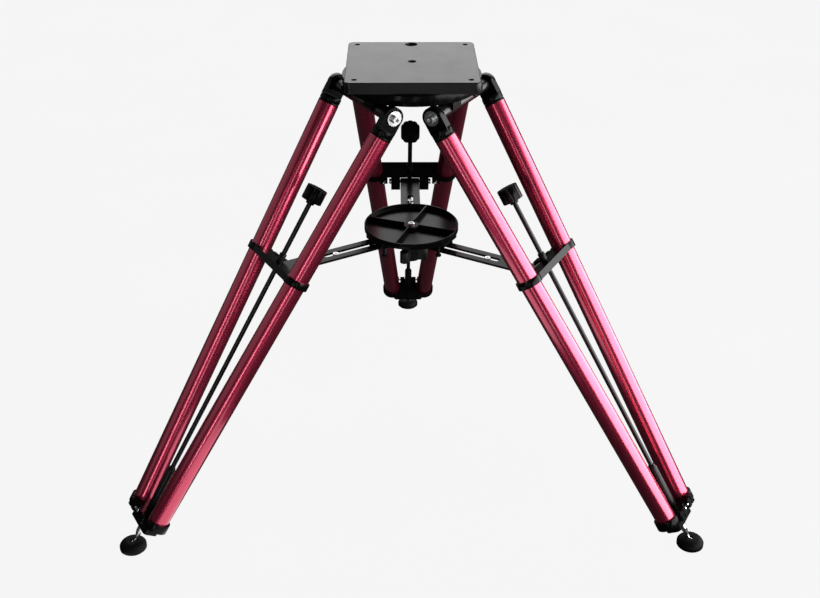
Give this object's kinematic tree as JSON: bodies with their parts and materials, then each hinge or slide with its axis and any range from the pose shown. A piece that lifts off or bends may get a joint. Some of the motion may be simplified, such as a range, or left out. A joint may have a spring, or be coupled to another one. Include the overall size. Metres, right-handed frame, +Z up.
{
  "type": "astronomy tripod",
  "caption": "Low twin-tube aluminium tripod that carries an astronomy mount: square plate, hinged legs, levelling spindle feet and a round accessory tray on slotted spreader arms.",
  "frame": {"origin": "centre of the centre bore in the top plate's upper face; floor at z = -0.775 m", "axes": "+Z up, -Y is the front, the side between the two front legs; the rear leg stands along +Y"},
  "size_m": [1.016, 0.899, 0.775],
  "materials": {
    "red_anodised": "red anodised, satin, drawn along the tube",
    "black_anodised": "black anodised, satin, machined",
    "blackened_steel": "black oxide, semi-gloss",
    "stainless": "turned stainless",
    "black_plastic": "moulded, fine grain",
    "black_rubber": "moulded rubber, matt"
  },
  "bodies": {
    "head": {"top_plate": "black_anodised", "hub": "black_anodised", "hinge_bar_left": "blackened_steel", "hinge_bar_right": "blackened_steel", "hinge_bar_rear": "blackened_steel", "hinge_screws": "stainless", "hinge_washers": "stainless", "plate_screws": "stainless"},
    "rear_leg": {"rear_leg_tube_ccw": "red_anodised", "rear_leg_tube_cw": "red_anodised", "rear_leg_top_fitting_ccw": "black_anodised", "rear_leg_top_fitting_cw": "black_anodised", "rear_leg_bracket": "black_anodised", "rear_leg_clamp_screws": "stainless", "rear_leg_arm_pivots": "stainless", "rear_leg_rod_bush": "black_anodised", "rear_leg_foot_block": "black_anodised", "rear_leg_foot_sleeve": "black_anodised"},
    "rear_knob": {"rear_leg_knob": "black_anodised", "rear_leg_adjusting_rod": "blackened_steel"},
    "rear_foot": {"rear_leg_spindle": "stainless"},
    "rear_pad": {"rear_leg_pad": "black_rubber"},
    "rear_arm": {"rear_spreader_arm": "black_anodised"},
    "left_leg": {"left_leg_tube_ccw": "red_anodised", "left_leg_tube_cw": "red_anodised", "left_leg_top_fitting_ccw": "black_anodised", "left_leg_top_fitting_cw": "black_anodised", "left_leg_bracket": "black_anodised", "left_leg_clamp_screws": "stainless", "left_leg_arm_pivots": "stainless", "left_leg_rod_bush": "black_anodised", "left_leg_foot_block": "black_anodised", "left_leg_foot_sleeve": "black_anodised"},
    "left_knob": {"left_leg_knob": "black_anodised", "left_leg_adjusting_rod": "blackened_steel"},
    "left_foot": {"left_leg_spindle": "stainless"},
    "left_pad": {"left_leg_pad": "black_rubber"},
    "left_arm": {"left_spreader_arm": "black_anodised"},
    "right_leg": {"right_leg_tube_ccw": "red_anodised", "right_leg_tube_cw": "red_anodised", "right_leg_top_fitting_ccw": "black_anodised", "right_leg_top_fitting_cw": "black_anodised", "right_leg_bracket": "black_anodised", "right_leg_clamp_screws": "stainless", "right_leg_arm_pivots": "stainless", "right_leg_rod_bush": "black_anodised", "right_leg_foot_block": "black_anodised", "right_leg_foot_sleeve": "black_anodised"},
    "right_knob": {"right_leg_knob": "black_anodised", "right_leg_adjusting_rod": "blackened_steel"},
    "right_foot": {"right_leg_spindle": "stainless"},
    "right_pad": {"right_leg_pad": "black_rubber"},
    "right_arm": {"right_spreader_arm": "black_anodised"},
    "tray": {"spreader_plate": "black_anodised", "guide_posts": "black_anodised", "tray": "black_anodised", "tray_divider": "black_anodised", "tray_screw": "stainless"},
    "clamp_knob": {"clamp_knob": "black_plastic"}
  },
  "joints": [
    {"name": "rear_fold", "type": "hinge", "parent": "head", "child": "rear_leg", "pos_m": [0, 0.089, -0.048], "axis": [-1, 0, 0], "range_deg": [0, 27]},
    {"name": "rear_arm_pivot", "type": "hinge", "parent": "rear_leg", "child": "rear_arm", "pos_m": [0, 0.23919, -0.31307], "axis": [-1, 0, 0], "range_deg": [-27, 0]},
    {"name": "rear_knob_turn", "type": "hinge", "parent": "rear_leg", "child": "rear_knob", "pos_m": [0, 0.18343, -0.19176], "axis": [0, 0.549, -0.8358], "range_deg": [-1440, 5400]},
    {"name": "rear_foot_extend", "type": "slide", "parent": "rear_leg", "child": "rear_foot", "axis": [0, 0.549, -0.8358], "range_m": [-0.008, 0.03]},
    {"name": "rear_pad_tilt", "type": "hinge", "parent": "rear_foot", "child": "rear_pad", "pos_m": [0, 0.55998, -0.765], "axis": [-1, 0, 0], "range_deg": [-35, 4]},
    {"name": "left_fold", "type": "hinge", "parent": "head", "child": "left_leg", "pos_m": [-0.07708, -0.0445, -0.048], "axis": [0.5, -0.866, 0], "range_deg": [0, 27]},
    {"name": "left_arm_pivot", "type": "hinge", "parent": "left_leg", "child": "left_arm", "pos_m": [-0.20714, -0.11959, -0.31307], "axis": [0.5, -0.866, 0], "range_deg": [-27, 0]},
    {"name": "left_knob_turn", "type": "hinge", "parent": "left_leg", "child": "left_knob", "pos_m": [-0.15886, -0.09172, -0.19176], "axis": [-0.4755, -0.2745, -0.8358], "range_deg": [-1440, 5400]},
    {"name": "left_foot_extend", "type": "slide", "parent": "left_leg", "child": "left_foot", "axis": [-0.4755, -0.2745, -0.8358], "range_m": [-0.008, 0.03]},
    {"name": "left_pad_tilt", "type": "hinge", "parent": "left_foot", "child": "left_pad", "pos_m": [-0.48496, -0.27999, -0.765], "axis": [0.5, -0.866, 0], "range_deg": [-35, 4]},
    {"name": "right_fold", "type": "hinge", "parent": "head", "child": "right_leg", "pos_m": [0.07708, -0.0445, -0.048], "axis": [0.5, 0.866, 0], "range_deg": [0, 27]},
    {"name": "right_arm_pivot", "type": "hinge", "parent": "right_leg", "child": "right_arm", "pos_m": [0.20714, -0.11959, -0.31307], "axis": [0.5, 0.866, 0], "range_deg": [-27, 0]},
    {"name": "right_knob_turn", "type": "hinge", "parent": "right_leg", "child": "right_knob", "pos_m": [0.15886, -0.09172, -0.19176], "axis": [0.4755, -0.2745, -0.8358], "range_deg": [-1440, 5400]},
    {"name": "right_foot_extend", "type": "slide", "parent": "right_leg", "child": "right_foot", "axis": [0.4755, -0.2745, -0.8358], "range_m": [-0.008, 0.03]},
    {"name": "right_pad_tilt", "type": "hinge", "parent": "right_foot", "child": "right_pad", "pos_m": [0.48496, -0.27999, -0.765], "axis": [0.5, 0.866, 0], "range_deg": [-35, 4]},
    {"name": "tray_slide", "type": "slide", "parent": "rear_arm", "child": "tray", "axis": [0, 1, 0], "range_m": [0, 0.1354]},
    {"name": "clamp_turn", "type": "hinge", "parent": "tray", "child": "clamp_knob", "pos_m": [0, 0, -0.33], "axis": [0, 0, 1], "continuous": true}
  ],
  "couplings": [
    {"joint": "rear_arm_pivot", "follows": "rear_fold", "ratio": -1},
    {"joint": "rear_foot_extend", "follows": "rear_knob_turn", "m_per_rad": 0.00031831},
    {"joint": "left_fold", "follows": "rear_fold", "ratio": 1},
    {"joint": "left_arm_pivot", "follows": "rear_fold", "ratio": -1},
    {"joint": "left_foot_extend", "follows": "left_knob_turn", "m_per_rad": 0.00031831},
    {"joint": "right_fold", "follows": "rear_fold", "ratio": 1},
    {"joint": "right_arm_pivot", "follows": "rear_fold", "ratio": -1},
    {"joint": "right_foot_extend", "follows": "right_knob_turn", "m_per_rad": 0.00031831},
    {"joint": "tray_slide", "follows": "rear_fold", "m_per_rad": 0.287}
  ]
}
